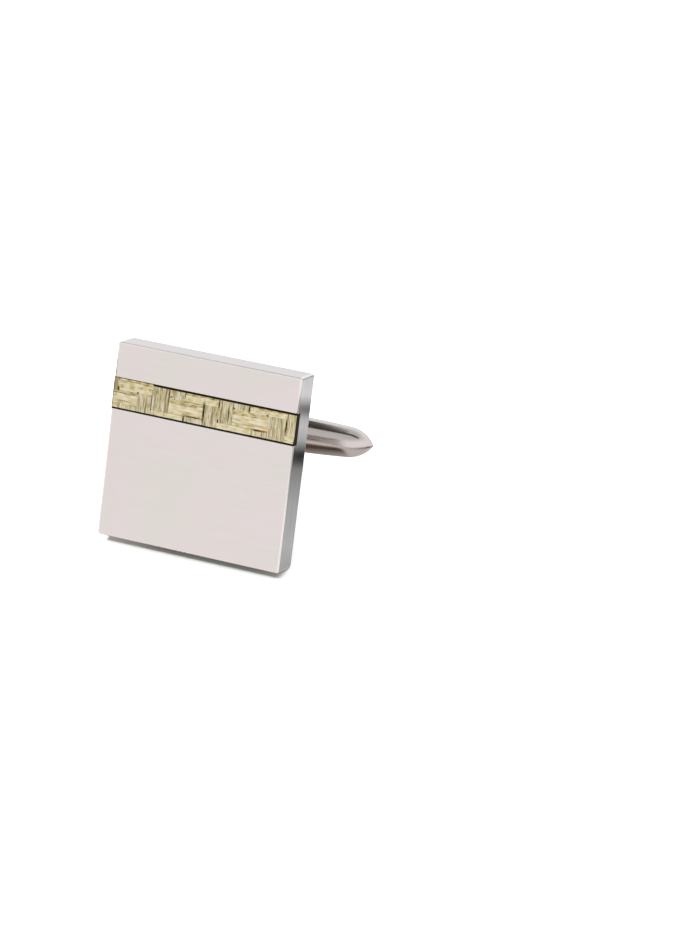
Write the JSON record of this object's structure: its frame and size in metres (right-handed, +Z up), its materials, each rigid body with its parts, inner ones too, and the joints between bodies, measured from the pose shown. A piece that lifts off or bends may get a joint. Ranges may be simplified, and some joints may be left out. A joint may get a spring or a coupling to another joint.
{
  "type": "cufflink",
  "caption": "Square brushed-steel cufflink with a woven straw band across its face and a bullet-shaped toggle that swings between the arms of its post.",
  "frame": {"origin": "centre of the footprint, on the surface that the cufflink rests on", "axes": "+X to the right as the face is seen, +Y from the face back towards the toggle, +Z up; the plate leans back as it does when the cufflink lies on a table"},
  "size_m": [0.0168, 0.02, 0.0159],
  "materials": {
    "brushed_steel": "fine crosswise brushing on the face, satin sides, polished post",
    "black_resin": "matt black",
    "straw": "flat plant fibres in a twill weave",
    "polished_steel": "polished"
  },
  "bodies": {
    "cufflink": {"plate_and_post": "brushed_steel", "inlay_bed": "black_resin", "straw_inlay": "straw", "pivot_pin": "polished_steel"},
    "toggle": {"toggle": "polished_steel"}
  },
  "joints": [
    {"name": "toggle_swing", "type": "hinge", "parent": "cufflink", "child": "toggle", "pos_m": [0, 0.00765, 0.0027], "axis": [0, 0.3416, 0.9398], "range_deg": [-100, 80]}
  ]
}
